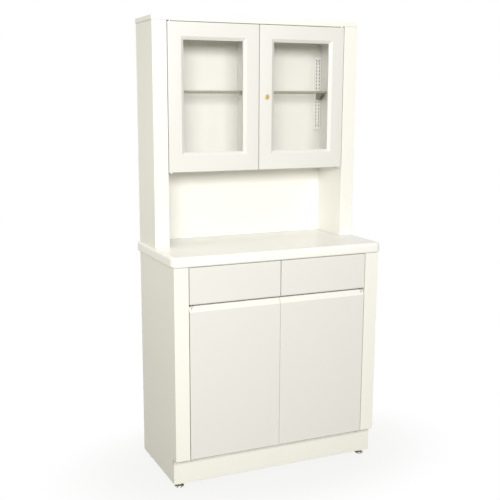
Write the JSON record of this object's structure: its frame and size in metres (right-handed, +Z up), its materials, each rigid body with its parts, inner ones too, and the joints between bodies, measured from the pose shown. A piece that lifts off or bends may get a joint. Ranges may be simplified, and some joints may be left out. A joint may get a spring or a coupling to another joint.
{
  "type": "glass door medical cabinet",
  "caption": "Tall clinic cabinet: drawers and cupboard doors under a worktop, with a shallower lockable glass-door unit above an open bay.",
  "frame": {"origin": "on the floor under the middle of the cabinet's bounding box", "axes": "+Z up, +Y towards the back that stands against a wall, +X to the right as seen from the front"},
  "size_m": [0.9, 0.422, 1.8],
  "materials": {
    "carcass_paint": "warm white satin paint on board",
    "front_paint": "off-white satin paint on board",
    "worktop_laminate": "semi-gloss ivory laminate",
    "zinc_steel": "zinc plated",
    "foot_chrome": "bright plated",
    "clear_glass": "clear float glass",
    "shelf_glass": "clear glass with ground edges",
    "lock_brass": "polished brass",
    "standard_paint": "white enamel",
    "bracket_enamel": "black enamel",
    "tray_enamel": "grey enamel",
    "bead_vinyl": "matt vinyl",
    "catch_nylon": "matt nylon"
  },
  "bodies": {
    "cabinet": {"base_wall_left": "carcass_paint", "base_wall_right": "carcass_paint", "base_floor": "carcass_paint", "base_back": "carcass_paint", "plinth": "carcass_paint", "drawer_deck": "carcass_paint", "drawer_divider": "carcass_paint", "worktop": "worktop_laminate", "runner_left_inner": "zinc_steel", "runner_left_outer": "zinc_steel", "runner_right_inner": "zinc_steel", "runner_right_outer": "zinc_steel", "hutch_wall_left": "carcass_paint", "hutch_wall_right": "carcass_paint", "hutch_floor": "carcass_paint", "hutch_back": "carcass_paint", "hutch_partition": "carcass_paint", "hutch_cap": "carcass_paint", "door_stop_rail": "carcass_paint", "glass_shelf_left": "shelf_glass", "glass_shelf_right": "shelf_glass", "shelf_standard_left": "standard_paint", "shelf_standard_right": "standard_paint", "shelf_bracket_left": "bracket_enamel", "shelf_bracket_right": "bracket_enamel", "shelf_stud_wall_left": "zinc_steel", "shelf_stud_wall_right": "zinc_steel", "shelf_stud_partition_front": "zinc_steel", "shelf_stud_partition_rear": "zinc_steel", "glass_door_pivot_left_top": "zinc_steel", "glass_door_pivot_left_bottom": "zinc_steel", "glass_door_pivot_right_top": "zinc_steel", "glass_door_pivot_right_bottom": "zinc_steel", "base_door_pivot_left_top": "zinc_steel", "base_door_pivot_left_bottom": "zinc_steel", "base_door_pivot_right_top": "zinc_steel", "base_door_pivot_right_bottom": "zinc_steel", "lock_strike": "zinc_steel", "base_catch": "catch_nylon", "glass_door_catch": "catch_nylon"},
    "glass_door_left": {"glass_door_frame_left": "front_paint", "glass_pane_left": "clear_glass", "glazing_bead_left": "bead_vinyl"},
    "glass_door_right": {"glass_door_frame_right": "front_paint", "glass_pane_right": "clear_glass", "glazing_bead_right": "bead_vinyl", "lock_barrel": "lock_brass"},
    "lock": {"lock_plug": "lock_brass"},
    "base_door_left": {"base_door_left": "front_paint"},
    "base_door_right": {"base_door_right": "front_paint"},
    "drawer_left": {"drawer_front_left": "front_paint", "drawer_tray_left": "tray_enamel"},
    "drawer_right": {"drawer_front_right": "front_paint", "drawer_tray_right": "tray_enamel"},
    "foot_left_front": {"foot_left_front": "foot_chrome"},
    "foot_left_rear": {"foot_left_rear": "foot_chrome"},
    "foot_right_front": {"foot_right_front": "foot_chrome"},
    "foot_right_rear": {"foot_right_rear": "foot_chrome"}
  },
  "joints": [
    {"name": "glass_door_left_swing", "type": "hinge", "parent": "cabinet", "child": "glass_door_left", "pos_m": [-0.369, 0.0165, 1.216], "axis": [0, 0, -1], "range_deg": [0, 110]},
    {"name": "glass_door_right_swing", "type": "hinge", "parent": "cabinet", "child": "glass_door_right", "pos_m": [0.369, 0.0165, 1.216], "axis": [0, 0, 1], "range_deg": [0, 110]},
    {"name": "lock_turn", "type": "hinge", "parent": "glass_door_right", "child": "lock", "pos_m": [0.0335, 0.01, 1.502], "axis": [0, 1, 0], "range_deg": [0, 90]},
    {"name": "base_door_left_swing", "type": "hinge", "parent": "cabinet", "child": "base_door_left", "pos_m": [-0.369, -0.1925, 0.1245], "axis": [0, 0, -1], "range_deg": [0, 110]},
    {"name": "base_door_right_swing", "type": "hinge", "parent": "cabinet", "child": "base_door_right", "pos_m": [0.369, -0.1925, 0.1245], "axis": [0, 0, 1], "range_deg": [0, 110]},
    {"name": "drawer_left_slide", "type": "slide", "parent": "cabinet", "child": "drawer_left", "axis": [0, -1, 0], "range_m": [0, 0.28]},
    {"name": "drawer_right_slide", "type": "slide", "parent": "cabinet", "child": "drawer_right", "axis": [0, -1, 0], "range_m": [0, 0.28]},
    {"name": "foot_left_front_turn", "type": "hinge", "parent": "cabinet", "child": "foot_left_front", "pos_m": [-0.411, -0.147, 0], "axis": [0, 0, 1], "continuous": true},
    {"name": "foot_left_rear_turn", "type": "hinge", "parent": "cabinet", "child": "foot_left_rear", "pos_m": [-0.411, 0.1597, 0], "axis": [0, 0, 1], "continuous": true},
    {"name": "foot_right_front_turn", "type": "hinge", "parent": "cabinet", "child": "foot_right_front", "pos_m": [0.411, -0.147, 0], "axis": [0, 0, 1], "continuous": true},
    {"name": "foot_right_rear_turn", "type": "hinge", "parent": "cabinet", "child": "foot_right_rear", "pos_m": [0.411, 0.1597, 0], "axis": [0, 0, 1], "continuous": true}
  ]
}
